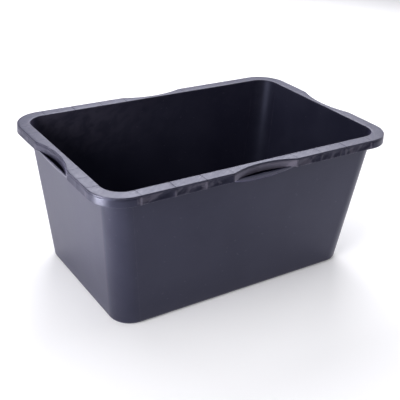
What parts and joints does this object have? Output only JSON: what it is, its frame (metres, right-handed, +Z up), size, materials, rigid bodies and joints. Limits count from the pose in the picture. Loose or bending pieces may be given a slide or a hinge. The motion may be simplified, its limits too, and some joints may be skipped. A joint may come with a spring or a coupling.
{
  "type": "mortar mixing tub",
  "caption": "Rectangular plastic mixing tub with tapered walls, a flanged rim with a hanging skirt, and a moulded hand grip in each side.",
  "frame": {"origin": "centre of the base, on the surface that the tub stands on", "axes": "+X along the long sides, +Y from the front long side to the back one, +Z up out of the mouth"},
  "size_m": [0.75, 0.492, 0.34],
  "materials": {
    "tub_plastic": "dark purple-grey, satin and a little worn; taken to be polyethylene"
  },
  "bodies": {
    "root": {"floor_panel": "tub_plastic", "front_wall": "tub_plastic", "front_flange": "tub_plastic", "front_skirt": "tub_plastic", "front_ribs": "tub_plastic", "front_grip_flange": "tub_plastic", "front_grip_skirt": "tub_plastic", "front_grip_cup": "tub_plastic", "right_wall": "tub_plastic", "right_flange": "tub_plastic", "right_skirt": "tub_plastic", "right_ribs": "tub_plastic", "right_grip_flange": "tub_plastic", "right_grip_skirt": "tub_plastic", "right_grip_cup": "tub_plastic", "back_wall": "tub_plastic", "back_flange": "tub_plastic", "back_skirt": "tub_plastic", "back_ribs": "tub_plastic", "back_grip_flange": "tub_plastic", "back_grip_skirt": "tub_plastic", "back_grip_cup": "tub_plastic", "left_wall": "tub_plastic", "left_flange": "tub_plastic", "left_skirt": "tub_plastic", "left_ribs": "tub_plastic", "left_grip_flange": "tub_plastic", "left_grip_skirt": "tub_plastic", "left_grip_cup": "tub_plastic", "back_right_corner_wall": "tub_plastic", "back_right_corner_flange": "tub_plastic", "back_right_corner_skirt": "tub_plastic", "back_left_corner_wall": "tub_plastic", "back_left_corner_flange": "tub_plastic", "back_left_corner_skirt": "tub_plastic", "front_left_corner_wall": "tub_plastic", "front_left_corner_flange": "tub_plastic", "front_left_corner_skirt": "tub_plastic", "front_right_corner_wall": "tub_plastic", "front_right_corner_flange": "tub_plastic", "front_right_corner_skirt": "tub_plastic"}
  },
  "joints": []
}
